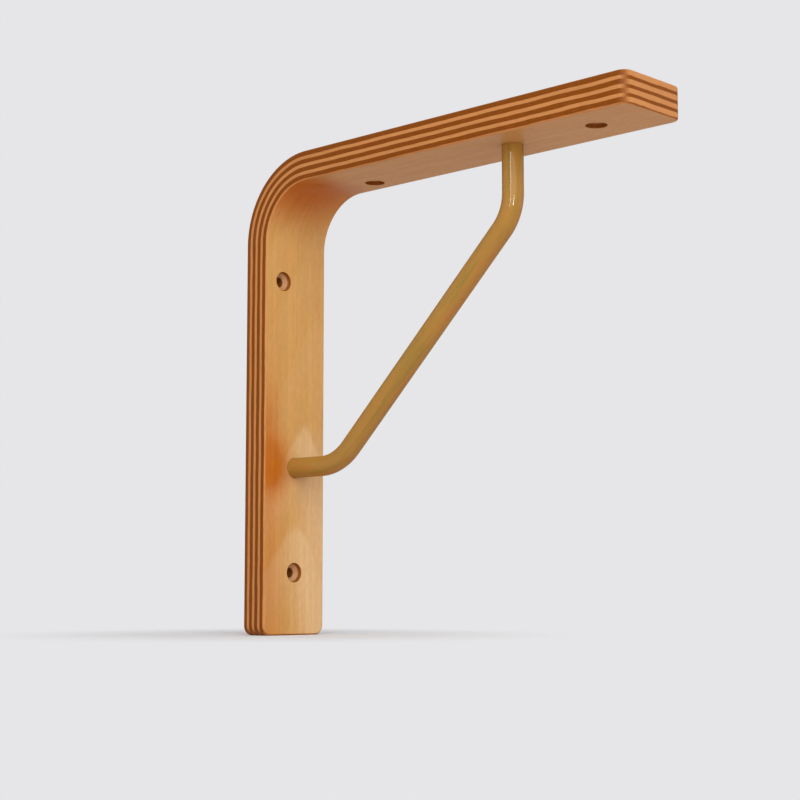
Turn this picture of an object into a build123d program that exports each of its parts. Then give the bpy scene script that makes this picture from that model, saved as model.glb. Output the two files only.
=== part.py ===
from build123d import *
import os

# Moulded plywood shelf bracket: a bent strip of nine glued veneers and a bent rod strut.
# X runs out of the wall along the arm, Y across the strip, Z up.
# The origin is the centre of the flat part of the wall face.

# The bent strip
bracket_height = 200.0
bracket_reach = 200.0
strip_width = 34.0
inner_bend_radius = 23.0
end_corner_radius = 4.0
arris_size = 0.6

# The veneers of the lay-up, thin ones on the two broad faces and thick ones between
face_veneer_thickness = 0.7
core_veneer_thickness = 1.6
core_veneer_count = 7

# Screw holes: a straight recess for the head, a cone below it, then the shank hole
screw_head_diameter = 8.0
screw_shank_diameter = 4.3
screw_head_sink = 1.3
screw_cone_angle = 90.0

# Places of the screw holes. The two nearest the bend stand off the middle line, on
# opposite sides, so that a screwdriver passes the strut.
low_screw_height = 26.0
high_screw_height = 149.0
high_screw_side = -7.1
rear_screw_reach = 53.0
rear_screw_side = 7.1
tip_screw_inset = 26.0

# The strut and its two blind sockets
rod_diameter = 8.4
strut_height = 70.0
strut_reach = 134.0
strut_straight_end = 26.6
lower_bend_radius = 25.0
upper_bend_radius = 19.0
socket_depth = 7.0
socket_clearance = 0.1

# Values worked out from these
strip_thickness = 2 * face_veneer_thickness + core_veneer_count * core_veneer_thickness
outer_bend_radius = inner_bend_radius + strip_thickness
leg_end = -(bracket_height - outer_bend_radius) / 2
shelf_level = leg_end + bracket_height
arm_underside = shelf_level - strip_thickness
bend_centre = (outer_bend_radius, shelf_level - outer_bend_radius)
strut_level = leg_end + strut_height

leg_screws = [(0, leg_end + low_screw_height), (high_screw_side, leg_end + high_screw_height)]
arm_screws = [(rear_screw_reach, rear_screw_side), (bracket_reach - tip_screw_inset, 0)]


def strip_section(near_depth, far_depth):
    """Side section of the bent strip between two depths, both measured from the wall and shelf faces."""
    with BuildSketch(Plane.XZ) as section:
        with BuildLine():
            wall_line = Line((near_depth, leg_end), (near_depth, bend_centre[1]))
            CenterArc(bend_centre, outer_bend_radius - near_depth, 180, -90)
            shelf_line = Line(
                (bend_centre[0], shelf_level - near_depth),
                (bracket_reach, shelf_level - near_depth),
            )
            underside_line = Line(
                (bracket_reach, shelf_level - far_depth),
                (bend_centre[0], shelf_level - far_depth),
            )
            CenterArc(bend_centre, outer_bend_radius - far_depth, 90, 90)
            room_line = Line((far_depth, bend_centre[1]), (far_depth, leg_end))
            Line(shelf_line @ 1, underside_line @ 0)
            Line(room_line @ 1, wall_line @ 0)
        make_face()
    return section.sketch


def screw_hole():
    """Recess, cone and shank hole of one screw, sunk from the face that it stands on."""
    Hole(radius=screw_head_diameter / 2, depth=screw_head_sink)
    with Locations((0, 0, -screw_head_sink)):
        CounterSinkHole(
            radius=screw_shank_diameter / 2,
            counter_sink_radius=screw_head_diameter / 2,
            depth=strip_thickness,
            counter_sink_angle=screw_cone_angle,
        )


def strut_socket():
    """Blind round socket for one end of the strut."""
    Hole(radius=rod_diameter / 2 + socket_clearance, depth=socket_depth)


# Faces that the holes are drilled from: the room side of the leg and the underside of the arm
room_face = Plane(origin=(strip_thickness, 0, 0), x_dir=(0, 1, 0), z_dir=(1, 0, 0))
arm_face = Plane(origin=(0, 0, arm_underside), x_dir=(1, 0, 0), z_dir=(0, 0, -1))

# The pressed strip as it is cut to width, eased and drilled, all its veneers in one
with BuildPart() as strip:
    extrude(strip_section(0, strip_thickness), amount=strip_width / 2, both=True)

    # Round the four corners of the two ends, then take the arris off all round each broad face
    fillet(strip.edges().filter_by(Axis.X).group_by(Axis.Z)[0], radius=end_corner_radius)
    fillet(strip.edges().filter_by(Axis.Z).group_by(Axis.X)[-1], radius=end_corner_radius)
    chamfer(strip.edges().filter_by(Axis.Y).group_by(Axis.Z)[0], length=arris_size)

    with Locations(room_face):
        with Locations(*leg_screws):
            screw_hole()
        with Locations((0, strut_level)):
            strut_socket()
    with Locations(arm_face):
        with Locations(*[(reach, -side) for reach, side in arm_screws]):
            screw_hole()
        with Locations((strut_reach, 0)):
            strut_socket()

# The veneers, from the wall face inwards: name, near depth and far depth
lay_up = [("wall_face_veneer", 0, face_veneer_thickness)]
for number in range(core_veneer_count):
    near = face_veneer_thickness + number * core_veneer_thickness
    lay_up.append((f"core_veneer_{number + 1}", near, near + core_veneer_thickness))
lay_up.append(("room_face_veneer", strip_thickness - face_veneer_thickness, strip_thickness))

os.makedirs("parts", exist_ok=True)

# Each veneer is its own layer of the strip, with the strip's rounded edges and holes
for name, near, far in lay_up:
    with BuildPart() as veneer:
        extrude(strip_section(near, far), amount=strip_width / 2, both=True)
        add(strip.part, mode=Mode.INTERSECT)
    veneer.part.label = name
    export_step(veneer.part, f"parts/{name}.step")

# The strut: out of the leg, up at a slant, and straight up into the arm
strut_points = [
    (strip_thickness - socket_depth, strut_level),
    (strip_thickness + strut_straight_end, strut_level),
    (strut_reach, arm_underside - strut_straight_end),
    (strut_reach, arm_underside + socket_depth),
]
with BuildPart() as strut:
    with BuildLine(Plane.XZ) as route:
        FilletPolyline(*strut_points, radius=[lower_bend_radius, upper_bend_radius])
    with BuildSketch(Plane(origin=route.line @ 0, z_dir=route.line % 0)):
        Circle(rod_diameter / 2)
    sweep()

strut.part.label = "strut"
export_step(strut.part, "parts/strut.step")
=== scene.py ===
"""Looks of a moulded plywood shelf bracket: nine bent birch veneers and a lacquered rod strut.

Everything is in metres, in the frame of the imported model. X runs out of the wall, Y across
the strip and Z up, and the origin is the centre of the flat part of the wall face. Each
veneer is cut as a flat sheet, with its holes, and then bent round the mould, so that its
grain is drawn on the sheet and follows the bend.
"""

import logging
import math
from abc import ABC, abstractmethod
from collections.abc import Iterable, Mapping, Sequence
from dataclasses import dataclass
from enum import Enum
from functools import partial
from typing import Any

import bmesh
import bpy
from bmesh.types import BMesh, BMVert
from bpy.types import Material, Mesh, Node, NodeSocket, NodeTree, Object
from mathutils import Matrix, Vector
from mathutils.geometry import delaunay_2d_cdt


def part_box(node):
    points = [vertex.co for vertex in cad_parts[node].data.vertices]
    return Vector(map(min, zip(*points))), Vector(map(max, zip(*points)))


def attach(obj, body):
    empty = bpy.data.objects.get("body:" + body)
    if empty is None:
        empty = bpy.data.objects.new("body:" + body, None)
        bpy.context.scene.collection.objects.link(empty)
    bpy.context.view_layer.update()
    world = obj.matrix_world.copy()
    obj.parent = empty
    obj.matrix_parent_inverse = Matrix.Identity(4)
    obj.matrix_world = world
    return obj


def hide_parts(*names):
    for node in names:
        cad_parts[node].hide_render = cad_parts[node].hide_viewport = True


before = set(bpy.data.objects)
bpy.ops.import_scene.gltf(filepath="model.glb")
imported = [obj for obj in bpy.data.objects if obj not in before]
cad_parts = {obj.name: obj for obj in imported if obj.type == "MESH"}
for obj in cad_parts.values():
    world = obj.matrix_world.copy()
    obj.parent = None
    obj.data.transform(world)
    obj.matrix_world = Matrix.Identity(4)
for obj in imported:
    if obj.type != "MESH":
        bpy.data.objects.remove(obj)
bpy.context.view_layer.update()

MM = 0.001
QUARTER_TURN = math.pi / 2
TRUE_EDGE_ANGLE = math.radians(32)
BODY = "root"

Point = tuple[float, float]
Place = tuple[float, float, float]

log = logging.getLogger("bracket")


def linear(hex_colour: str) -> tuple[float, float, float, float]:
    """Turns an sRGB hex colour into a linear colour.

    Args:
        hex_colour: The colour, such as "#C8955B".

    Returns:
        Red, green, blue and alpha, linear.
    """
    shares = [int(hex_colour[start:start + 2], 16) / 255 for start in (1, 3, 5)]
    red, green, blue = [s / 12.92 if s <= 0.04045 else ((s + 0.055) / 1.055) ** 2.4 for s in shares]
    return red, green, blue, 1.0


def find_socket(sockets: Sequence[NodeSocket], key: str | int) -> NodeSocket:
    """Finds a node's socket.

    Args:
        sockets: The node's inputs or outputs.
        key: The socket's number, identifier or name.

    Returns:
        The socket with that number, or the first in use with that identifier or name.
    """
    if isinstance(key, int):
        return sockets[key]
    return next(s for s in sockets if s.enabled and key in (s.identifier, s.name))


def add_node(
    tree: NodeTree,
    kind: str,
    settings: Mapping[str | int, Any] | None = None,
    links: Mapping[str | int, Any] | None = None,
) -> Node:
    """Adds a node with its settings and links.

    Args:
        tree: The tree that gets the node.
        kind: The node's type, such as "ShaderNodeMath".
        settings: Values by the name of a property, or by the name or number of an input.
        links: What feeds each input: a socket, or a node whose first output in use is meant.

    Returns:
        The new node.
    """
    node = tree.nodes.new(kind)
    for key, value in (settings or {}).items():
        if isinstance(key, str) and hasattr(node, key):
            setattr(node, key, value)
        else:
            find_socket(node.inputs, key).default_value = value
    for key, source in (links or {}).items():
        if isinstance(source, Node):
            source = next(s for s in source.outputs if s.enabled)
        tree.links.new(source, find_socket(node.inputs, key))
    return node


@dataclass(frozen=True)
class Ramp:
    """A value that goes from one level to another between two limits of what drives it."""

    start: float
    end: float
    before: float = 0.0
    after: float = 1.0
    soft: bool = True

    @property
    def settings(self) -> dict[str | int, Any]:
        """The ramp as settings of a Map Range node.

        Returns:
            Its course and its four levels, by the node's own names.
        """
        return {
            "interpolation_type": "SMOOTHSTEP" if self.soft else "LINEAR",
            "From Min": self.start, "From Max": self.end, "To Min": self.before, "To Max": self.after,
        }


def uneven_pattern(tree: NodeTree, place: NodeSocket, sizes_mm: Sequence[float], detail: float) -> Node:
    """Soft uneven pattern of a real size, such as fibres or ripples.

    Args:
        tree: The material's tree.
        place: Place on the piece, in metres.
        sizes_mm: Usual size of one light or dark spot along each axis.
        detail: How many finer sizes are mixed in.

    Returns:
        The node with the pattern, about 0 to 1.
    """
    repeats = [1 / (size * MM) for size in sizes_mm]
    scaled = add_node(tree, "ShaderNodeMapping", {"Scale": repeats}, {"Vector": place})
    return add_node(tree, "ShaderNodeTexNoise", {"Scale": 1.0, "Detail": detail}, {"Vector": scaled})


def seen_directly(tree: NodeTree) -> Node:
    """Tells the rays that show a surface, also in gloss or glass, from those that only carry light.

    Args:
        tree: The tree of a material or of the world.

    Returns:
        The node, 1 for rays that show the surface and else 0.
    """
    path = add_node(tree, "ShaderNodeLightPath").outputs
    seen = path["Is Camera Ray"]
    for other in ("Is Glossy Ray", "Is Transmission Ray"):
        seen = add_node(tree, "ShaderNodeMath", {"operation": "MAXIMUM"}, {0: seen, 1: path[other]})
    return seen


def new_material(name: str) -> tuple[Material, NodeTree]:
    """Makes an empty material.

    Args:
        name: The material's name.

    Returns:
        The material and its cleared node tree.
    """
    material = bpy.data.materials.new(name)
    material.use_nodes = True
    material.node_tree.nodes.clear()
    return material, material.node_tree


def new_geometry_tree(name: str, inputs: Mapping[str, str]) -> tuple[NodeTree, Node]:
    """Makes a Geometry Nodes tree with named inputs after its geometry.

    Args:
        name: The tree's name.
        inputs: Each further input's name and socket type.

    Returns:
        The tree and its input node.
    """
    tree = bpy.data.node_groups.new(name, "GeometryNodeTree")
    for way in ("INPUT", "OUTPUT"):
        tree.interface.new_socket(name="Geometry", in_out=way, socket_type="NodeSocketGeometry")
    for label, socket_type in inputs.items():
        tree.interface.new_socket(name=label, in_out="INPUT", socket_type=socket_type)
    return tree, add_node(tree, "NodeGroupInput")


def end_geometry_tree(tree: NodeTree, shape: Node, finish: NodeSocket) -> None:
    """Ends a Geometry Nodes tree in real geometry with its material.

    Args:
        tree: The tree.
        shape: The node with the finished shape.
        finish: The socket with its material.
    """
    realized = add_node(tree, "GeometryNodeRealizeInstances", links={"Geometry": shape})
    dressed = add_node(tree, "GeometryNodeSetMaterial", links={"Geometry": realized, "Material": finish})
    add_node(tree, "NodeGroupOutput", links={"Geometry": dressed})


def shape_piece(name: str, start: Mesh, tree: NodeTree, inputs: Mapping[str, Any]) -> Object:
    """Runs a Geometry Nodes tree on a mesh and keeps the result as a plain mesh object.

    Args:
        name: The piece's name.
        start: The mesh that the tree starts from.
        tree: The tree.
        inputs: A value for each of the tree's named inputs.

    Returns:
        The piece, at the origin, with no modifier.
    """
    piece = bpy.data.objects.new(name, start)
    bpy.context.scene.collection.objects.link(piece)
    modifier = piece.modifiers.new(tree.name, "NODES")
    modifier.node_group = tree
    for item in tree.interface.items_tree:
        if item.in_out == "INPUT" and item.name in inputs:
            modifier[item.identifier] = inputs[item.name]
    depsgraph = bpy.context.evaluated_depsgraph_get()
    shaped = bpy.data.meshes.new_from_object(
        piece.evaluated_get(depsgraph), preserve_all_data_layers=True, depsgraph=depsgraph
    )
    piece.modifiers.remove(modifier)
    piece.data = shaped
    shaped.name = name
    bpy.data.meshes.remove(start)
    return piece


def finish_piece(piece: Object, node: str) -> None:
    """Shades a piece smooth, apart from its true edges, hides the solid it stands for and hangs it on the
    body.

    Args:
        piece: The piece.
        node: The solid's node.
    """
    piece.data.polygons.foreach_set("use_smooth", [True] * len(piece.data.polygons))
    piece.data.set_sharp_from_angle(angle=TRUE_EDGE_ANGLE)
    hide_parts(node)
    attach(piece, BODY)


class Limb(Enum):
    """The two flat runs of the strip, one each side of the bend."""

    LEG = "leg"
    ARM = "arm"


class Grain(Enum):
    """Which way the fibres run on the flat sheet."""

    ALONG = "along the strip"
    ACROSS = "across the strip"

    def sizes(self, length: float, width: float) -> Place:
        """Sizes of a pattern that is drawn out along the fibres.

        Args:
            length: Size along the fibres.
            width: Size across the fibres.

        Returns:
            Size along the sheet, across it and in its depth.
        """
        if self is Grain.ALONG:
            return length, width, width
        return width, length, width


@dataclass(frozen=True)
class SunkHole(ABC):
    """A round hole sunk from the room side of the leg or the underside of the arm. Sizes in mm.

    Its reach is its height on the leg, or how far out it is on the arm, from the origin.
    """

    limb: Limb
    reach: float
    across: float
    blind: bool = False

    @property
    @abstractmethod
    def profile(self) -> tuple[Point, ...]:
        """Depths below that face, each with the radius there. The last radius goes on from there."""

    def radius_at(self, sunk: float) -> float:
        """Radius of the hole.

        Args:
            sunk: Depth below the room face.

        Returns:
            The radius at that depth.
        """
        for (upper, wide), (lower, narrow) in zip(self.profile, self.profile[1:]):
            if sunk <= lower:
                return wide + (narrow - wide) * (sunk - upper) / (lower - upper)
        return self.profile[-1][1]


@dataclass(frozen=True)
class ScrewHole(SunkHole):
    """A recess for the head, a cone of 90 degrees and the shank hole, with a rim worn by sanding."""

    head_radius: float = 4.0
    shank_radius: float = 2.15
    head_sink: float = 1.3
    rim_wear: float = 0.12

    @property
    def profile(self) -> tuple[Point, ...]:
        """Worn rim, straight recess and cone, with the shank hole below them.

        Returns:
            Pairs of depth and radius.
        """
        cone_end = self.head_sink + self.head_radius - self.shank_radius
        return (
            (0.0, self.head_radius + self.rim_wear),
            (self.rim_wear, self.head_radius),
            (self.head_sink, self.head_radius),
            (cone_end, self.shank_radius),
        )


@dataclass(frozen=True)
class StrutSocket(SunkHole):
    """The blind socket that holds one end of the strut."""

    blind: bool = True
    radius: float = 4.3
    floor: float = 7.0

    @property
    def profile(self) -> tuple[Point, ...]:
        """Straight wall down to the socket's floor."""
        return (0.0, self.radius), (self.floor, self.radius)


@dataclass(frozen=True)
class BentStrip:
    """Sizes of the whole strip, in metres, and how finely its curves are divided."""

    leg_end: float
    shelf_level: float
    reach: float
    width: float
    depths: tuple[float, ...]
    holes: tuple[SunkHole, ...]
    end_corner_radius: float = 4.0 * MM
    arris_radius: float = 1.0 * MM
    flat_margin: float = 0.25 * MM
    arris_steps: int = 6
    corner_steps: int = 12
    bend_steps: int = 45
    hole_steps: int = 64

    @classmethod
    def from_frame(cls, nodes: Sequence[str], holes: tuple[SunkHole, ...]) -> "BentStrip":
        """Reads the strip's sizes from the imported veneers.

        Args:
            nodes: The veneers' nodes, from the wall side inwards.
            holes: The holes drilled through them.

        Returns:
            The strip.
        """
        low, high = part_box(nodes[0])
        depths = [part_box(node)[0].x for node in nodes]
        # The two face veneers are equally thick
        depths.append(depths[-1] + depths[1])
        return cls(low.z, high.z, high.x, high.y - low.y, tuple(depths), holes)

    @property
    def thickness(self) -> float:
        """Thickness of all the veneers together."""
        return self.depths[-1]

    @property
    def outer_radius(self) -> float:
        """Radius of the wall face in the bend. The origin halves the flat part below it."""
        return self.shelf_level + self.leg_end

    @property
    def bend_level(self) -> float:
        """Height of the bend's centre."""
        return self.shelf_level - self.outer_radius

    @property
    def leg_length(self) -> float:
        """Length of the leg's flat part."""
        return self.bend_level - self.leg_end

    def arris_inset(self, depth: float) -> float:
        """How far the rounded arris takes the edge back at a depth below the wall face."""
        from_face = min(depth, self.thickness - depth, self.arris_radius)
        return self.arris_radius - math.sqrt(max(from_face * (2 * self.arris_radius - from_face), 0.0))


def on_circle(centre: Point, radius: float, angle: float) -> Point:
    """Point of a circle at an angle."""
    return centre[0] + radius * math.cos(angle), centre[1] + radius * math.sin(angle)


def new_ring(work: BMesh, points: Iterable[Point], depth: float) -> list[BMVert]:
    """Adds a ring of vertices at one depth of a sheet."""
    return [work.verts.new((along, across, depth)) for along, across in points]


@dataclass(frozen=True)
class HoleMouth:
    """The round opening that a hole leaves in one broad face of a sheet."""

    centre: Point
    radius: float
    ring: list[BMVert]


@dataclass(frozen=True)
class FlatVeneer:
    """One veneer of the strip, by its number from the wall side, as a flat sheet. Sizes in metres."""

    strip: BentStrip
    number: int

    @property
    def near(self) -> float:
        """Depth of its wall side."""
        return self.strip.depths[self.number]

    @property
    def far(self) -> float:
        """Depth of its room side."""
        return self.strip.depths[self.number + 1]

    @property
    def neutral_radius(self) -> float:
        """Radius of the bend in the middle of the veneer."""
        return self.strip.outer_radius - (self.near + self.far) / 2

    @property
    def bend_length(self) -> float:
        """Length that goes round the bend."""
        return self.neutral_radius * QUARTER_TURN

    @property
    def length(self) -> float:
        """Length of the whole sheet."""
        return self.strip.leg_length + self.bend_length + self.strip.reach - self.strip.outer_radius

    def hole_centre(self, hole: SunkHole) -> Point:
        """Place of a hole on the sheet.

        Args:
            hole: The hole.

        Returns:
            Distance from the leg's end and from the middle line.
        """
        if hole.limb is Limb.LEG:
            return hole.reach * MM - self.strip.leg_end, hole.across * MM
        return self.length - self.strip.reach + hole.reach * MM, hole.across * MM

    def outline(self, inset: float) -> list[Point]:
        """Edge of the sheet, with its round corners and a point at each station of the bend.

        Args:
            inset: How far the line lies inside the sheet's edge.

        Returns:
            Points anticlockwise, as many for any inset.
        """
        strip = self.strip
        half = strip.width / 2
        corner = strip.end_corner_radius
        turn = self.bend_length / strip.bend_steps
        stations = [strip.leg_length + turn * step for step in range(strip.bend_steps + 1)]
        end, side = self.length - corner, half - corner
        centres = [(corner, -side), (end, -side), (end, side), (corner, side)]
        points = []
        for quarter, centre in enumerate(centres):
            for step in range(strip.corner_steps + 1):
                angle = math.pi + (quarter + step / strip.corner_steps) * QUARTER_TURN
                points.append(on_circle(centre, corner - inset, angle))
            if quarter == 0:
                points += [(station, inset - half) for station in stations]
            if quarter == 2:
                points += [(station, half - inset) for station in reversed(stations)]
        return points

    def edge_levels(self) -> list[Point]:
        """Depths and insets of the sheet's edge from its near face to its far face.

        The strip's two arrises are rounded through as many veneers as they reach. A narrow flat
        margin beside them keeps the broad faces flat in the light.

        Returns:
            Pairs of depth and inset.
        """
        strip = self.strip
        angles = [QUARTER_TURN * step / strip.arris_steps for step in range(1, strip.arris_steps)]
        rounding = [strip.arris_radius * (1 - math.cos(angle)) for angle in angles] + [strip.arris_radius]
        marks = rounding + [strip.thickness - depth for depth in rounding]
        depths = [self.near, *sorted(mark for mark in marks if self.near < mark < self.far), self.far]
        levels = [(depth, strip.arris_inset(depth)) for depth in depths]
        margin = strip.arris_radius + strip.flat_margin
        if self.number == 0:
            levels.insert(0, (self.near, margin))
        if self.far == strip.thickness:
            levels.append((self.far, margin))
        return levels

    def hole_levels(self, hole: SunkHole) -> list[Point]:
        """Depths and radii of a hole's wall inside the veneer, from its near to its far face.

        Args:
            hole: The hole.

        Returns:
            Pairs of depth and radius, or none where a blind hole ends before the veneer.
        """
        thickness = self.strip.thickness
        top, bottom = thickness - self.far, thickness - self.near
        if hole.blind:
            bottom = min(bottom, hole.profile[-1][0] * MM)
        if top >= bottom:
            return []
        depths = [top, *(sunk * MM for sunk, _ in hole.profile if top < sunk * MM < bottom), bottom]
        return [(thickness - sunk, hole.radius_at(sunk / MM) * MM) for sunk in reversed(depths)]

    def cut(self) -> Mesh:
        """Cuts the sheet with its holes, and marks their walls as bored.

        Returns:
            A closed mesh, its length along X, its width along Y and its depth along Z.
        """
        work = bmesh.new()
        bored = work.faces.layers.float.new("bored")
        edge = [new_ring(work, self.outline(inset), depth) for depth, inset in self.edge_levels()]
        walls = [edge]
        near_mouths, far_mouths = [], []
        steps = self.strip.hole_steps
        for hole in self.strip.holes:
            levels = self.hole_levels(hole)
            if not levels:
                continue
            centre = self.hole_centre(hole)
            rings = []
            for depth, radius in levels:
                circle = [on_circle(centre, radius, math.tau * step / steps) for step in range(steps)]
                rings.append(new_ring(work, circle, depth))
            walls.append(rings)
            far_mouths.append(HoleMouth(centre, levels[-1][1], rings[-1]))
            if levels[0][0] > self.near:
                work.faces.new(rings[0])
            else:
                near_mouths.append(HoleMouth(centre, levels[0][1], rings[0]))
        for rings in walls:
            for lower, upper in zip(rings, rings[1:]):
                for here in range(len(lower)):
                    after = (here + 1) % len(lower)
                    wall = work.faces.new((lower[here], lower[after], upper[after], upper[here]))
                    wall[bored] = float(rings is not edge)
        self.fill_face(work, edge[0], near_mouths)
        self.fill_face(work, edge[-1], far_mouths)
        bmesh.ops.recalc_face_normals(work, faces=work.faces)
        sheet = bpy.data.meshes.new(f"flat_sheet_{self.number}")
        work.to_mesh(sheet)
        work.free()
        return sheet

    def fill_face(self, work: BMesh, edge: list[BMVert], mouths: list[HoleMouth]) -> None:
        """Fills one broad face round its holes, with a crease at each station of the bend.

        Args:
            work: The mesh being made.
            edge: The face's edge.
            mouths: The holes in the face.
        """
        corners = list(edge)
        creases = []
        for mouth in mouths:
            loop = list(range(len(corners), len(corners) + len(mouth.ring)))
            creases += zip(loop, loop[1:] + loop[:1])
            corners += mouth.ring
        first = self.strip.corner_steps + 1
        last = 3 * first + 2 * (self.strip.bend_steps + 1) - 1
        creases += [(first + step, last - step) for step in range(self.strip.bend_steps + 1)]
        flat = [Vector((corner.co.x, corner.co.y)) / MM for corner in corners]
        boundary = list(range(len(edge)))
        inside_only, same_place_mm, just_inside = 1, 1e-5, 0.999
        filling = delaunay_2d_cdt(flat, creases, [boundary], inside_only, same_place_mm)
        triangles, sources = filling[2:4]
        for triangle in triangles:
            chosen = [sources[corner][0] for corner in triangle]
            middle = sum((flat[corner] for corner in chosen), Vector((0, 0))) / 3 * MM
            if all((middle - Vector(m.centre)).length > m.radius * just_inside for m in mouths):
                work.faces.new([corners[corner] for corner in chosen])


def bending_tree() -> NodeTree:
    """Geometry Nodes tree that bends a flat sheet round the mould.

    It first stores each point's place and each face's direction on the flat sheet, for the
    finish to draw the grain by. Then it turns each point about the bend's centre by as much
    of the bend as lies before it, and lets it run straight on before and after the bend.

    Returns:
        The tree.
    """
    tree, given = new_geometry_tree("bend_round_the_mould", {
        "Flat Centre": "NodeSocketVector",
        "Bend Centre": "NodeSocketVector",
        "Neutral Radius": "NodeSocketFloat",
        "Finish": "NodeSocketMaterial",
    })
    add = partial(add_node, tree)
    sizes = given.outputs
    place = add("GeometryNodeInputPosition")
    direction = add("GeometryNodeInputNormal")
    marked = sizes["Geometry"]
    for name, domain, value in (("flat_place", "POINT", place), ("flat_direction", "FACE", direction)):
        marked = add(
            "GeometryNodeStoreNamedAttribute",
            {"data_type": "FLOAT_VECTOR", "domain": domain, "Name": name},
            {"Geometry": marked, "Value": value},
        )
    local = add("ShaderNodeVectorMath", {"operation": "SUBTRACT"}, {0: place, 1: sizes["Flat Centre"]})
    past_leg, across, inward = add("ShaderNodeSeparateXYZ", links={0: local}).outputs
    turn = add("ShaderNodeMath", {"operation": "DIVIDE"}, {0: past_leg, 1: sizes["Neutral Radius"]})
    angle = add("ShaderNodeClamp", {"Max": QUARTER_TURN}, {"Value": turn})
    bent_length = add("ShaderNodeMath", {"operation": "MULTIPLY"}, {0: angle, 1: sizes["Neutral Radius"]})
    straight = add("ShaderNodeMath", {"operation": "SUBTRACT"}, {0: past_leg, 1: bent_length})
    upright = add("ShaderNodeCombineXYZ", links={"X": inward, "Y": across, "Z": straight})
    turned = add("ShaderNodeVectorRotate", {"rotation_type": "Y_AXIS"}, {"Vector": upright, "Angle": angle})
    bent_place = add("ShaderNodeVectorMath", {"operation": "ADD"}, {0: turned, 1: sizes["Bend Centre"]})
    bent = add("GeometryNodeSetPosition", links={"Geometry": marked, "Position": bent_place})
    # The flat sheet lies with its depth upwards, so the bent one is its mirror image
    outward = add("GeometryNodeFlipFaces", links={"Mesh": bent})
    end_geometry_tree(tree, outward, sizes["Finish"])
    return tree


@dataclass(frozen=True)
class SheetPlace:
    """What a veneer's finish knows of each point: its place on the flat sheet, and its facing there.

    The places are in metres. A facing is 1 where the surface looks straight that way or back.
    """

    strip: BentStrip
    tree: NodeTree
    place: NodeSocket
    along: NodeSocket
    across: NodeSocket
    depth: NodeSocket
    faces_end: NodeSocket
    faces_side: NodeSocket
    faces_out: NodeSocket

    @classmethod
    def read_in(cls, tree: NodeTree, strip: BentStrip) -> "SheetPlace":
        """Reads what the sheet kept from before it was bent.

        Args:
            tree: The material's tree.
            strip: The strip that the sheet is part of.

        Returns:
            The tree and its sockets.
        """
        add = partial(add_node, tree)
        place = add("ShaderNodeAttribute", {"attribute_name": "flat_place"}).outputs["Vector"]
        direction = add("ShaderNodeAttribute", {"attribute_name": "flat_direction"}).outputs["Vector"]
        either_way = add("ShaderNodeVectorMath", {"operation": "ABSOLUTE"}, {0: direction})
        places = add("ShaderNodeSeparateXYZ", links={0: place}).outputs
        facings = add("ShaderNodeSeparateXYZ", links={0: either_way}).outputs
        return cls(strip, tree, place, *places, *facings)


@dataclass(frozen=True)
class PaintedShadePatch:
    """A soft patch of painted shade on the flat sheet, a deeper colour, its middle and reach in metres.

    Its strength is full within a share of the reach.
    """

    middle: Place
    reach: Place
    strength: float
    full_within: float = 0.1

    def draw(self, sheet: SheetPlace) -> Node:
        """Draws the patch.

        Args:
            sheet: The sheet.

        Returns:
            The node with the patch, 0 outside it.
        """
        add = partial(add_node, sheet.tree)
        local = add(
            "ShaderNodeMapping", {"vector_type": "TEXTURE", "Location": self.middle, "Scale": self.reach},
            {"Vector": sheet.place},
        )
        distance = add("ShaderNodeVectorMath", {"operation": "LENGTH"}, {0: local})
        edge = Ramp(1.0, self.full_within, after=self.strength)
        return add("ShaderNodeMapRange", edge.settings, {"Value": distance})


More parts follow.
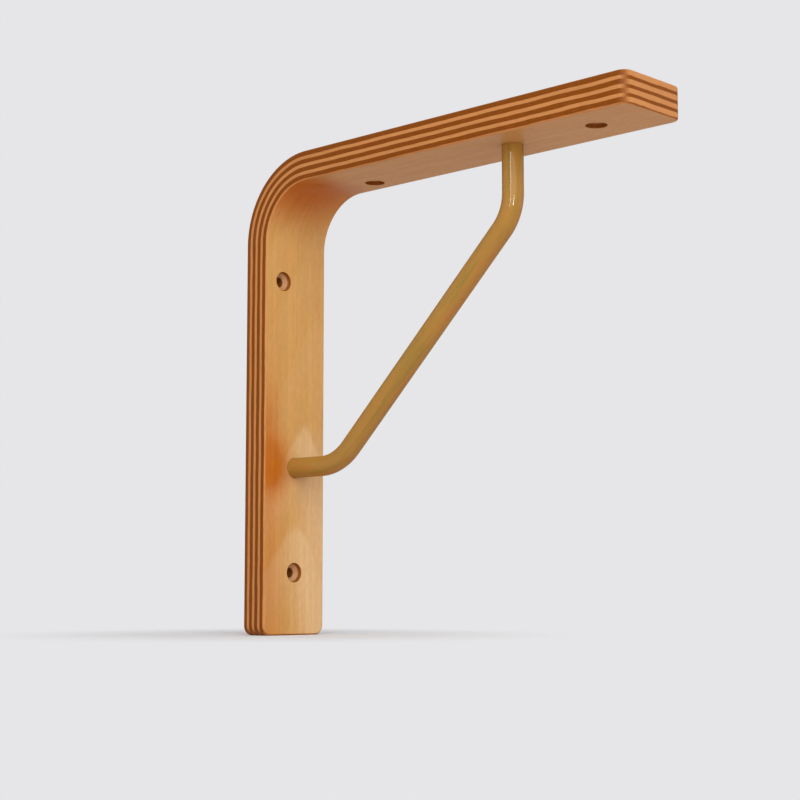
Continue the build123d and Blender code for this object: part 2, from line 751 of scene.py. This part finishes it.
@dataclass(frozen=True)
class FlameFigure:
    """Nested arches of the growth rings, which the knife has cut at a slant.

    Each arch has a clear upper edge and fades away below it. The arches lean to one side and
    grow steeper up the leg, and the layers nearer the wall show them further along.
    """

    top: float = 92 * MM
    pitch: float = 47 * MM
    tip_radius: float = 3 * MM
    depth_shift: float = 3.0
    lean: Ramp = Ramp(42 * MM, 89 * MM, 0.0, 6 * MM, soft=False)
    slope: Ramp = Ramp(42 * MM, 89 * MM, 1.5, 2.5, soft=False)
    drift_mm: Point = (60.0, 26.0)
    drift: Ramp = Ramp(0.0, 1.0, -0.15, 0.15, soft=False)
    rise: Ramp = Ramp(0.0, 0.8)
    fall: Ramp = Ramp(1.0, 0.86)
    strength: Ramp = Ramp(40 * MM, 75 * MM, 0.5, 0.6)
    past_top: Ramp = Ramp(-3 * MM, 6 * MM, 1.0, 0.15)

    def draw(self, sheet: SheetPlace, grain: Grain) -> Node:
        """Draws the arches.

        Args:
            sheet: The sheet.
            grain: Which way its fibres run.

        Returns:
            The node with the paleness, 0 to 1.
        """
        add = partial(add_node, sheet.tree)
        lean = add("ShaderNodeMapRange", {"clamp": False, **self.lean.settings}, {"Value": sheet.along})
        off_centre = add("ShaderNodeMath", {"operation": "SUBTRACT"}, {0: sheet.across, 1: lean})
        from_tip = add("ShaderNodeCombineXYZ", {"Y": self.tip_radius}, {"X": off_centre})
        side = add("ShaderNodeVectorMath", {"operation": "LENGTH"}, {0: from_tip})
        slope = add("ShaderNodeMapRange", self.slope.settings, {"Value": sheet.along})
        arch = add("ShaderNodeMath", {"operation": "MULTIPLY_ADD"}, {0: side, 1: slope, 2: sheet.along})
        layered = add(
            "ShaderNodeMath", {"operation": "MULTIPLY_ADD", 1: self.depth_shift}, {0: sheet.depth, 2: arch}
        )
        top = self.top + self.slope.after * self.tip_radius + self.depth_shift * sheet.strip.thickness
        below = add("ShaderNodeMath", {"operation": "SUBTRACT", 1: top}, {0: layered})
        pitched = add("ShaderNodeMath", {"operation": "DIVIDE", 1: self.pitch}, {0: below})
        wander = uneven_pattern(sheet.tree, sheet.place, grain.sizes(*self.drift_mm), detail=2.0)
        drift = add("ShaderNodeMapRange", self.drift.settings, {"Value": wander})
        ring = add("ShaderNodeMath", {"operation": "ADD"}, {0: drift, 1: pitched})
        within = add("ShaderNodeMath", {"operation": "FRACT"}, {0: ring})
        paleness = add("ShaderNodeMapRange", self.rise.settings, {"Value": within})
        for ramp, driver in ((self.fall, within), (self.strength, sheet.along), (self.past_top, below)):
            share = add("ShaderNodeMapRange", ramp.settings, {"Value": driver})
            paleness = add("ShaderNodeMath", {"operation": "MULTIPLY"}, {0: paleness, 1: share})
        return paleness


@dataclass(frozen=True)
class VeneerFinish:
    """Birch veneer, cut with a knife, pressed and sprayed with satin lacquer.

    The sheet's own length, width and depth, stored before it was bent, carry every pattern.
    """

    # To the eye: warm and softly figured with a dull sheen, and dark where its fibres are cut across
    name: str
    slot: str
    grain: Grain
    pale: str = "#CCA978"
    golden: str = "#BD904F"
    # Painted shade: the deeper colour that the patches of painted shade draw the broad face towards
    painted_shade_orange: str = "#B0641A"
    flames: FlameFigure = FlameFigure()
    # Painted light: the broad face is drawn paler toward its far side and low on the leg
    painted_light_far_side: Ramp = Ramp(-6 * MM, 14 * MM)
    painted_light_low_end: Ramp = Ramp(95 * MM, 60 * MM, 0.1, 0.85)

    # Cut edges: side grain is pale, end grain dark, and the layers wander a little along the edge
    side_grain: str = "#B87E48"
    end_grain: str = "#7A4005"
    layer_wave_mm: Place = (14.0, 14.0, 6.0)
    layer_wave: Ramp = Ramp(0.0, 1.0, -0.35 * MM, 0.35 * MM, soft=False)
    layer_edge_mm: Point = (-0.05, 0.3)
    cut_across: Ramp = Ramp(0.2, 0.95)

    # Drilled walls: painted shade, brown, where they are straight, and pale and pinkish on the cone below
    # the recess
    bored: str = "#8A5218"
    countersunk: str = "#B88A62"
    cone_facing: Ramp = Ramp(0.2, 0.6)
    cone_sunk_mm: Point = (1.5, 1.9)

    # Real fibres are too fine to show in the render, so they are drawn half a millimetre wide
    fibre_mm: Point = (9.0, 0.5)
    fibre_share: float = 0.5
    mottle_mm: Point = (3.0, 1.3)
    ring_mm: Point = (120.0, 2.4)
    shade: Ramp = Ramp(0.7, 1.8, 0.89, 1.12, soft=False)
    growth_line: Ramp = Ramp(0.5, 0.47, 0.93, 1.0)

    # The lacquer lies on the broad faces and sinks into the pores, 2 mm long and 0.15 mm wide
    broad_face: Ramp = Ramp(0.75, 0.98)
    coat_weight: float = 0.1
    pore_mm: Point = (2.0, 0.15)
    roughness: Ramp = Ramp(0.62, 0.72, 0.5, 0.7, soft=False)
    relief: float = 0.35
    relief_depth: float = 0.02 * MM

    def dress(self, strip: BentStrip) -> Material:
        """Builds the finish.

        Args:
            strip: The strip, whose depths say where one veneer ends and the next begins.

        Returns:
            The material.
        """
        material, tree = new_material(self.name)
        add = partial(add_node, tree)
        sheet = SheetPlace.read_in(tree, strip)
        on_face = add("ShaderNodeMapRange", self.broad_face.settings, {"Value": sheet.faces_out})
        outside = add("ShaderNodeMix", {"data_type": "RGBA"}, {
            "Factor_Float": on_face,
            "A_Color": self.cut_edge_colour(sheet),
            "B_Color": self.broad_face_colour(sheet),
        })
        tone = add("ShaderNodeMix", {"data_type": "RGBA"}, {
            "Factor_Float": add("ShaderNodeAttribute", {"attribute_name": "bored"}).outputs["Fac"],
            "A_Color": outside,
            "B_Color": self.drilled_colour(sheet),
        })
        fibres = uneven_pattern(sheet.tree, sheet.place, self.grain.sizes(*self.fibre_mm), detail=3.0)
        streaked = add(
            "ShaderNodeVectorMath", {"operation": "SCALE"},
            {"Vector": tone, "Scale": self.streaks(sheet, fibres)},
        )
        pores = uneven_pattern(sheet.tree, sheet.place, self.grain.sizes(*self.pore_mm), detail=1.0)
        gloss = add("ShaderNodeMapRange", self.roughness.settings, {"Value": pores})
        relief = add(
            "ShaderNodeBump", {"Strength": self.relief, "Distance": self.relief_depth}, {"Height": fibres}
        )
        coat = add("ShaderNodeMath", {"operation": "MULTIPLY", 1: self.coat_weight}, {0: on_face})
        wood = add(
            "ShaderNodeBsdfPrincipled",
            {"IOR": 1.5, "Specular IOR Level": 0.08, "Coat Roughness": 0.25, "Coat IOR": 1.5},
            {"Base Color": streaked, "Roughness": gloss, "Normal": relief, "Coat Weight": coat},
        )
        add("ShaderNodeOutputMaterial", links={"Surface": wood})
        return material

    def broad_face_colour(self, sheet: SheetPlace) -> Node:
        """Figure of the broad face, with painted light low on the far side and patches of painted shade.

        Args:
            sheet: The sheet.

        Returns:
            The node with the colour.
        """
        add = partial(add_node, sheet.tree)
        # Painted light: paler toward the far side and low on the leg, where more light falls on the face
        side = add("ShaderNodeMapRange", self.painted_light_far_side.settings, {"Value": sheet.across})
        low = add("ShaderNodeMapRange", self.painted_light_low_end.settings, {"Value": sheet.along})
        paleness_with_painted_light = add(
            "ShaderNodeMath", {"operation": "MULTIPLY_ADD", "use_clamp": True},
            {0: side, 1: low, 2: self.flames.draw(sheet, self.grain)},
        )
        figure_tone_with_painted_light = add(
            "ShaderNodeMix",
            {"data_type": "RGBA", "A_Color": linear(self.golden), "B_Color": linear(self.pale)},
            {"Factor_Float": paleness_with_painted_light},
        )
        # Painted shade: patches that deepen the broad face's colour
        painted_shade_share, *others = [patch.draw(sheet) for patch in self.painted_shade_patches(sheet.strip)]
        for patch in others:
            painted_shade_share = add("ShaderNodeMath", {"operation": "ADD", "use_clamp": True}, {0: painted_shade_share, 1: patch})
        return add(
            "ShaderNodeMix", {"data_type": "RGBA", "B_Color": linear(self.painted_shade_orange)},
            {"Factor_Float": painted_shade_share, "A_Color": figure_tone_with_painted_light},
        )

    def painted_shade_patches(self, strip: BentStrip) -> list[PaintedShadePatch]:
        """Where painted shade deepens the wood's colour.

        Args:
            strip: The strip.

        Returns:
            Painted shade: a band on the leg's near edge, two patches by the strut's socket, one in the
                bend.
        """
        room_face = strip.thickness
        in_bend = strip.leg_length + 28 * MM
        return [
            # Painted shade on the near edge and in the bend; the two patches by the socket are the strut's
            # painted shadow and reflection
            PaintedShadePatch((30 * MM, -17 * MM, 0.0), reach=(140 * MM, 16 * MM, 1.0), strength=0.5),
            PaintedShadePatch((70 * MM, -8.5 * MM, room_face), reach=(18 * MM, 13 * MM, 8 * MM), strength=0.6),
            PaintedShadePatch((78 * MM, -16 * MM, room_face), reach=(36 * MM, 13 * MM, 8 * MM), strength=0.45),
            PaintedShadePatch((in_bend, -7 * MM, room_face), reach=(26 * MM, 44 * MM, 8 * MM), strength=1.0),
        ]

    def cut_edge_colour(self, sheet: SheetPlace) -> Node:
        """Colour of the cut edges, where layers with their grain along and across take turns.

        Args:
            sheet: The sheet.

        Returns:
            The node with the colour.
        """
        add = partial(add_node, sheet.tree)
        _, face_veneer, first_boundary, *_ = sheet.strip.depths
        core_veneer = first_boundary - face_veneer
        wave = uneven_pattern(sheet.tree, sheet.place, self.layer_wave_mm, detail=3.0)
        shift = add("ShaderNodeMapRange", self.layer_wave.settings, {"Value": wave})
        depth = add("ShaderNodeMath", {"operation": "ADD"}, {0: sheet.depth, 1: shift})
        # Painted shade: the wall-side face veneer's cut edge is drawn dark, like the cross layer beside it
        inside = add("ShaderNodeMath", {"operation": "MAXIMUM", 1: face_veneer}, {0: depth})
        from_middle = add(
            "ShaderNodeMath", {"operation": "SUBTRACT", 1: face_veneer + core_veneer / 2}, {0: inside}
        )
        away = add("ShaderNodeMath", {"operation": "PINGPONG", 1: core_veneer}, {0: from_middle})
        start, end = [core_veneer / 2 + past * MM for past in self.layer_edge_mm]
        crossed = add("ShaderNodeMapRange", Ramp(start, end, 1.0, 0.0).settings, {"Value": away})
        cut_across = add(
            "ShaderNodeMix", {"data_type": "FLOAT"},
            {"Factor_Float": crossed, "A_Float": sheet.faces_end, "B_Float": sheet.faces_side},
        )
        dark_share = add("ShaderNodeMapRange", self.cut_across.settings, {"Value": cut_across})
        return add(
            "ShaderNodeMix",
            {"data_type": "RGBA", "A_Color": linear(self.side_grain), "B_Color": linear(self.end_grain)},
            {"Factor_Float": dark_share},
        )

    def drilled_colour(self, sheet: SheetPlace) -> Node:
        """Colour of the holes' walls, with painted shade on their straight parts.

        Args:
            sheet: The sheet.

        Returns:
            The node with the colour.
        """
        add = partial(add_node, sheet.tree)
        start, end = [sheet.strip.thickness - sunk * MM for sunk in self.cone_sunk_mm]
        slanted = add("ShaderNodeMapRange", self.cone_facing.settings, {"Value": sheet.faces_out})
        deep = add("ShaderNodeMapRange", Ramp(start, end).settings, {"Value": sheet.depth})
        on_cone = add("ShaderNodeMath", {"operation": "MULTIPLY"}, {0: slanted, 1: deep})
        return add(
            "ShaderNodeMix",
            {"data_type": "RGBA", "A_Color": linear(self.bored), "B_Color": linear(self.countersunk)},
            {"Factor_Float": on_cone},
        )

    def streaks(self, sheet: SheetPlace, fibres: Node) -> Node:
        """Light and dark streaks along the grain, with a thin dark line between growth rings.

        Args:
            sheet: The sheet.
            fibres: The node with the fibres.

        Returns:
            The node with the brightness, about 1.
        """
        add = partial(add_node, sheet.tree)
        mottle = uneven_pattern(sheet.tree, sheet.place, self.grain.sizes(*self.mottle_mm), detail=2.0)
        rings = uneven_pattern(sheet.tree, sheet.place, self.grain.sizes(*self.ring_mm), detail=2.0)
        fine = add(
            "ShaderNodeMath", {"operation": "MULTIPLY_ADD", 1: self.fibre_share}, {0: fibres, 2: mottle}
        )
        every = add("ShaderNodeMath", {"operation": "ADD"}, {0: fine, 1: rings})
        shade = add("ShaderNodeMapRange", self.shade.settings, {"Value": every})
        folded = add("ShaderNodeMath", {"operation": "PINGPONG", 1: 0.5}, {0: rings})
        line = add("ShaderNodeMapRange", self.growth_line.settings, {"Value": folded})
        return add("ShaderNodeMath", {"operation": "MULTIPLY"}, {0: shade, 1: line})


@dataclass(frozen=True)
class RodLacquer:
    """Drawn steel rod, sprayed with a brass-coloured lacquer."""

    # To the eye: an even glossy ochre, with faint olive and rusty streaks along the rod
    name: str = "sprayed_brass_lacquer_on_steel"
    slot: str = "lacquered_rod"
    ochre: str = "#A27A36"
    olive: str = "#8A7430"
    rust: str = "#B06A34"
    streak_mm: Place = (2.2, 2.2, 30.0)
    toward_rust: Ramp = Ramp(0.5, 0.75, after=0.4)
    toward_olive: Ramp = Ramp(0.5, 0.28, after=0.8)
    ripple_mm: Place = (1.4, 1.4, 16.0)
    relief: float = 0.5
    relief_depth: float = 0.04 * MM

    def dress(self) -> Material:
        """Builds the finish.

        Returns:
            The material.
        """
        material, tree = new_material(self.name)
        add = partial(add_node, tree)
        along = add("ShaderNodeAttribute", {"attribute_name": "along_rod"}).outputs["Vector"]
        round_it = add("ShaderNodeAttribute", {"attribute_name": "in_section"}).outputs["Vector"]
        place = add("ShaderNodeVectorMath", {"operation": "ADD"}, {0: along, 1: round_it}).outputs["Vector"]
        streaks = uneven_pattern(tree, place, self.streak_mm, detail=3.0)
        rusty = add("ShaderNodeMapRange", self.toward_rust.settings, {"Value": streaks})
        greenish = add("ShaderNodeMapRange", self.toward_olive.settings, {"Value": streaks})
        warmed = add(
            "ShaderNodeMix",
            {"data_type": "RGBA", "A_Color": linear(self.ochre), "B_Color": linear(self.rust)},
            {"Factor_Float": rusty},
        )
        colour = add(
            "ShaderNodeMix", {"data_type": "RGBA", "B_Color": linear(self.olive)},
            {"Factor_Float": greenish, "A_Color": warmed},
        )
        ripples = uneven_pattern(tree, place, self.ripple_mm, detail=1.0)
        relief = add(
            "ShaderNodeBump", {"Strength": self.relief, "Distance": self.relief_depth}, {"Height": ripples}
        )
        gloss = {"Roughness": 0.5, "Specular IOR Level": 0.0, "Coat Weight": 0.35, "Coat Roughness": 0.04}
        lacquer = add(
            "ShaderNodeBsdfPrincipled", {"Coat IOR": 1.5, **gloss}, {"Base Color": colour, "Normal": relief}
        )
        add("ShaderNodeOutputMaterial", links={"Surface": lacquer})
        return material


@dataclass(frozen=True)
class LaidUpStrip:
    """The bent strip: nine veneers, each its own piece, with their grain along and across in turn."""

    strip: BentStrip
    nodes: tuple[str, ...]
    face: VeneerFinish = VeneerFinish("sliced_birch_face_under_satin_lacquer", "face_birch", Grain.ALONG)
    along: VeneerFinish = VeneerFinish(
        "rotary_cut_birch_along_under_satin_lacquer", "long_birch", Grain.ALONG
    )
    across: VeneerFinish = VeneerFinish(
        "rotary_cut_birch_across_under_satin_lacquer", "cross_birch", Grain.ACROSS
    )

    def finish_of(self, number: int) -> VeneerFinish:
        """Finish of one veneer.

        Args:
            number: The veneer's place in the lay-up.

        Returns:
            The finish.
        """
        if number in (0, len(self.nodes) - 1):
            return self.face
        return self.across if number % 2 else self.along

    def build(self) -> list[Object]:
        """Bends and dresses each veneer.

        Returns:
            The veneers, from the wall side inwards.
        """
        tree = bending_tree()
        dressed = {finish.name: finish.dress(self.strip) for finish in (self.face, self.along, self.across)}
        pieces = []
        for number, node in enumerate(self.nodes):
            finish = self.finish_of(number)
            veneer = FlatVeneer(self.strip, number)
            piece = shape_piece(f"bent_{node}", veneer.cut(), tree, {
                "Flat Centre": (self.strip.leg_length, 0.0, self.strip.outer_radius),
                "Bend Centre": (self.strip.outer_radius, 0.0, self.strip.bend_level),
                "Neutral Radius": veneer.neutral_radius,
                "Finish": dressed[finish.name],
            })
            finish_piece(piece, node)
            pieces.append(piece)
        return pieces


@dataclass(frozen=True)
class RodStrut:
    """The bent rod: level out of the leg, slanting up, and upright into the arm. Sizes in metres."""

    strip: BentStrip
    finish: RodLacquer = RodLacquer()
    node: str = "strut"
    rod_radius: float = 4.2 * MM
    straight_end: float = 26.6 * MM
    lower_bend_radius: float = 25.0 * MM
    upper_bend_radius: float = 19.0 * MM
    bend_steps: int = 24
    round_steps: int = 64

    def route(self) -> Mesh:
        """Corners of the rod's middle line.

        Returns:
            A mesh of four points and three edges.
        """
        low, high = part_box(self.node)
        level = low.z + self.rod_radius
        upright = high.x - self.rod_radius
        underside = self.strip.shelf_level - self.strip.thickness
        corners = [
            (low.x, 0, level), (self.strip.thickness + self.straight_end, 0, level),
            (upright, 0, underside - self.straight_end), (upright, 0, high.z),
        ]
        line = bpy.data.meshes.new("strut_route")
        line.from_pydata(corners, [(0, 1), (1, 2), (2, 3)], [])
        return line

    def sweeping_tree(self) -> NodeTree:
        """Geometry Nodes tree that rounds the route's bends and sweeps the rod along it.

        It stores each point's place along the rod and in its round section, for the finish.

        Returns:
            The tree.
        """
        tree, given = new_geometry_tree("sweep_the_rod", {
            "Rod Radius": "NodeSocketFloat",
            "Lower Bend Radius": "NodeSocketFloat",
            "Upper Bend Radius": "NodeSocketFloat",
            "Bend Steps": "NodeSocketInt",
            "Round Steps": "NodeSocketInt",
            "Finish": "NodeSocketMaterial",
        })
        add = partial(add_node, tree)
        sizes = given.outputs
        line = add("GeometryNodeMeshToCurve", links={"Mesh": sizes["Geometry"]})
        # Corner 1 of the route is the lower bend and corner 2 the upper one
        corner = add("GeometryNodeInputIndex")
        bend_radius = add(
            "ShaderNodeMapRange", {"From Min": 1.0, "From Max": 2.0},
            {"Value": corner, "To Min": sizes["Lower Bend Radius"], "To Max": sizes["Upper Bend Radius"]},
        )
        rounded = add(
            "GeometryNodeFilletCurve", {"mode": "POLY"},
            {"Curve": line, "Radius": bend_radius, "Count": sizes["Bend Steps"]},
        )
        length = add("GeometryNodeSplineParameter").outputs["Length"]
        measured = add(
            "GeometryNodeStoreNamedAttribute", {"data_type": "FLOAT_VECTOR", "Name": "along_rod"},
            {"Geometry": rounded, "Value": add("ShaderNodeCombineXYZ", links={"Z": length})},
        )
        circle = add(
            "GeometryNodeCurvePrimitiveCircle",
            links={"Radius": sizes["Rod Radius"], "Resolution": sizes["Round Steps"]},
        )
        section = add(
            "GeometryNodeStoreNamedAttribute", {"data_type": "FLOAT_VECTOR", "Name": "in_section"},
            {"Geometry": circle, "Value": add("GeometryNodeInputPosition")},
        )
        swept = add(
            "GeometryNodeCurveToMesh", {"Fill Caps": True}, {"Curve": measured, "Profile Curve": section}
        )
        end_geometry_tree(tree, swept, sizes["Finish"])
        return tree

    def build(self) -> Object:
        """Sweeps and dresses the rod.

        Returns:
            The rod.
        """
        piece = shape_piece("bent_rod_strut", self.route(), self.sweeping_tree(), {
            "Rod Radius": self.rod_radius,
            "Lower Bend Radius": self.lower_bend_radius,
            "Upper Bend Radius": self.upper_bend_radius,
            "Bend Steps": self.bend_steps,
            "Round Steps": self.round_steps,
            "Finish": self.finish.dress(),
        })
        finish_piece(piece, self.node)
        return piece


@dataclass(frozen=True)
class SoftLamp:
    """A rectangular studio lamp. Places and sizes in metres, power in watts."""

    name: str
    place: Place
    aim: Place
    width: float
    height: float
    power: float
    colour: str = "#FFFFFF"
    only_in_gloss: bool = False

    def build(self) -> None:
        """Hangs the lamp and points it."""
        lamp = bpy.data.lights.new(self.name, "AREA")
        lamp.shape = "RECTANGLE"
        lamp.size = self.width
        lamp.size_y = self.height
        lamp.energy = self.power
        lamp.color = linear(self.colour)[:3]
        holder = bpy.data.objects.new(self.name, lamp)
        holder.location = self.place
        holder.visible_diffuse = not self.only_in_gloss
        holder.rotation_euler = (Vector(self.aim) - Vector(self.place)).to_track_quat("-Z", "Y").to_euler()
        bpy.context.scene.collection.objects.link(holder)


@dataclass(frozen=True)
class Studio:
    """Floor, surrounding light, lamps and camera, which is turned by angles in degrees."""

    floor_level: float
    lamps: tuple[SoftLamp, ...]
    floor_radius: float = 4.0
    floor_sides: int = 96
    floor_fade: Ramp = Ramp(0.03, 0.14)
    floor_colour: str = "#E4E4E6"
    bounce: str = "#E6CDD2"
    backdrop: str = "#E6E6E8"
    fill: str = "#FFFFFF"
    fill_strength: float = 0.55
    camera_place_mm: Place = (546.74, -490.53, -63.84)
    camera_turn: Place = (96.3517, 0.0, 43.921)
    lens_mm: float = 77.2
    sensor_mm: float = 36.0
    nearest: float = 0.01

    def build(self) -> None:
        """Sets up the whole studio."""
        for lamp in self.lamps:
            lamp.build()
        self.lay_floor()
        self.light_world()
        self.place_camera()
        bpy.context.scene.view_settings.view_transform = "Standard"

    def lay_floor(self) -> None:
        """Lays the round floor under the leg's end."""
        work = bmesh.new()
        bmesh.ops.create_circle(work, cap_ends=True, segments=self.floor_sides, radius=self.floor_radius)
        mesh = bpy.data.meshes.new("floor")
        work.to_mesh(mesh)
        work.free()
        mesh.transform(Matrix.Translation((0, 0, self.floor_level)))
        floor = bpy.data.objects.new("floor", mesh)
        bpy.context.scene.collection.objects.link(floor)
        mesh.materials.append(self.floor_finish())

    def floor_finish(self) -> Material:
        """Board painted matt, which fades into the backdrop away from the bracket.

        Returns:
            The material.
        """
        # To the eye: a pale even ground that holds only the soft shadow under the leg
        material, tree = new_material("matt_painted_board")
        add = partial(add_node, tree)
        place = add("ShaderNodeTexCoord").outputs["Object"]
        level = add("ShaderNodeVectorMath", {"operation": "MULTIPLY", 1: (1.0, 1.0, 0.0)}, {0: place})
        distance = add("ShaderNodeVectorMath", {"operation": "LENGTH"}, {0: level})
        fade = add("ShaderNodeMapRange", self.floor_fade.settings, {"Value": distance})
        seen = seen_directly(tree)
        blend = add("ShaderNodeMath", {"operation": "MULTIPLY"}, {0: fade, 1: seen})
        tone = add(
            "ShaderNodeMix",
            {"data_type": "RGBA", "A_Color": linear(self.bounce), "B_Color": linear(self.floor_colour)},
            {"Factor_Float": seen},
        )
        board = add("ShaderNodeBsdfDiffuse", links={"Color": tone})
        glow = add("ShaderNodeEmission", {"Color": linear(self.backdrop)})
        surface = add("ShaderNodeMixShader", links={"Fac": blend, 1: board, 2: glow})
        add("ShaderNodeOutputMaterial", links={"Surface": surface})
        return material

    def light_world(self) -> None:
        """Surrounds the bracket with even light, and shows the backdrop to the camera and in gloss."""
        world = bpy.data.worlds.new("studio")
        world.use_nodes = True
        tree = world.node_tree
        tree.nodes.clear()
        add = partial(add_node, tree)
        fill = add("ShaderNodeBackground", {"Color": linear(self.fill), "Strength": self.fill_strength})
        backdrop = add("ShaderNodeBackground", {"Color": linear(self.backdrop)})
        either = add("ShaderNodeMixShader", links={"Fac": seen_directly(tree), 1: fill, 2: backdrop})
        add("ShaderNodeOutputWorld", links={"Surface": either})
        bpy.context.scene.world = world

    def place_camera(self) -> None:
        """Places the camera where the photograph was taken from."""
        lens = bpy.data.cameras.new("camera")
        lens.sensor_width = self.sensor_mm
        lens.lens = self.lens_mm
        lens.clip_start = self.nearest
        camera = bpy.data.objects.new("camera", lens)
        camera.location = Vector(self.camera_place_mm) * MM
        camera.rotation_euler = [math.radians(angle) for angle in self.camera_turn]
        bpy.context.scene.collection.objects.link(camera)
        bpy.context.scene.camera = camera


NODES = ("wall_face_veneer", *(f"core_veneer_{number}" for number in range(1, 8)), "room_face_veneer")
HOLES = (
    ScrewHole(Limb.LEG, reach=-56.2, across=0.0),
    ScrewHole(Limb.LEG, reach=66.8, across=-7.1),
    ScrewHole(Limb.ARM, reach=53.0, across=7.1),
    ScrewHole(Limb.ARM, reach=174.0, across=0.0),
    StrutSocket(Limb.LEG, reach=-12.2, across=0.0),
    StrutSocket(Limb.ARM, reach=134.0, across=0.0),
)
# The key and the window light the wood. The strip and the glint show only in gloss, mostly the rod's.
ROD_TOP = (0.134, 0.0, 0.09)
LAMPS = (
    SoftLamp("key", (0.96, -0.81, 0.5), aim=(0.08, 0.0, 0.0), width=1.4, height=1.4, power=18.2),
    SoftLamp(
        "window", (0.95, 1.0, 0.3), aim=(0.0, 0.0, 0.05), width=1.2, height=1.1, power=2.5, colour="#FFF6E8"
    ),
    SoftLamp("strip", (0.43, -0.96, 0.5), ROD_TOP, width=0.1, height=1.1, power=8.0, only_in_gloss=True),
    SoftLamp("glint", (0.95, -0.58, 0.04), ROD_TOP, width=0.1, height=0.24, power=4.0, only_in_gloss=True),
)


def main() -> None:
    """Builds the bracket and the studio."""
    logging.basicConfig(level=logging.INFO, format="%(name)s: %(message)s")
    strip = BentStrip.from_frame(NODES, HOLES)
    for piece in [*LaidUpStrip(strip, NODES).build(), RodStrut(strip).build()]:
        log.info("%s has %d faces", piece.name, len(piece.data.polygons))
    Studio(strip.leg_end, LAMPS).build()


if __name__ == "__main__":
    main()
